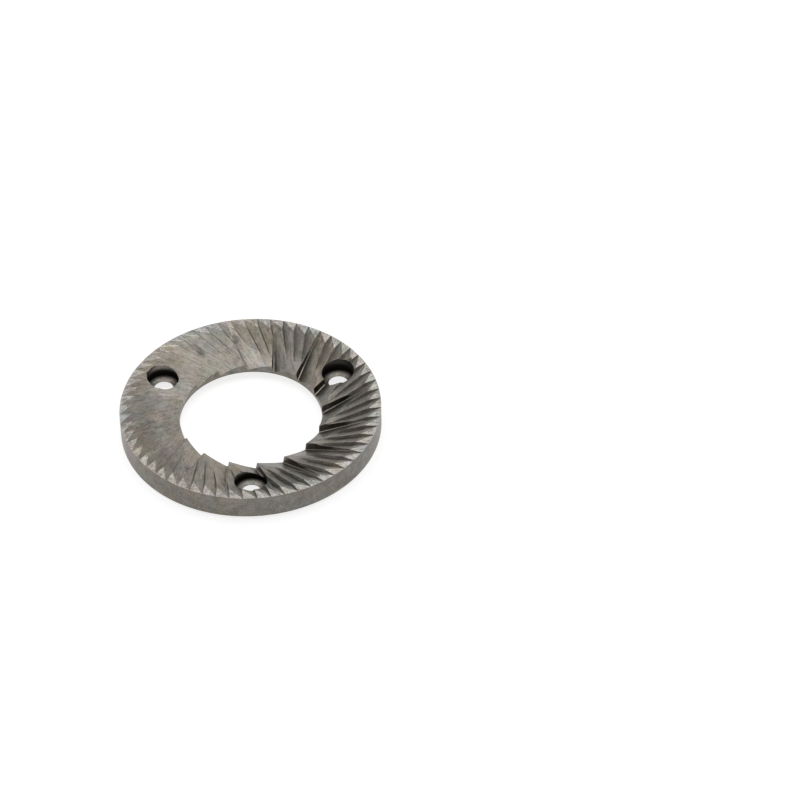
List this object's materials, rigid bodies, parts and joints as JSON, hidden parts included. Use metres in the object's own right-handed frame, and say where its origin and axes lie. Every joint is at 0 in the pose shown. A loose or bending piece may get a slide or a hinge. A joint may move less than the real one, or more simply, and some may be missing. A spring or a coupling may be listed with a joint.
{
  "type": "grinder burr",
  "caption": "Flat steel grinding ring for a coffee grinder, with coarse teeth at the bore, fine teeth at the rim, recessed screw holes and a raised back rim.",
  "frame": {"origin": "centre of the ring, in the plane of the back rim that it rests on", "axes": "+Z along the ring's axis, from the back towards the teeth; a screw hole lies in the -Y direction"},
  "size_m": [0.064, 0.064, 0.0068],
  "materials": {
    "hardened_steel": "satin"
  },
  "bodies": {
    "root": {"grinding_burr": "hardened_steel"}
  },
  "joints": []
}
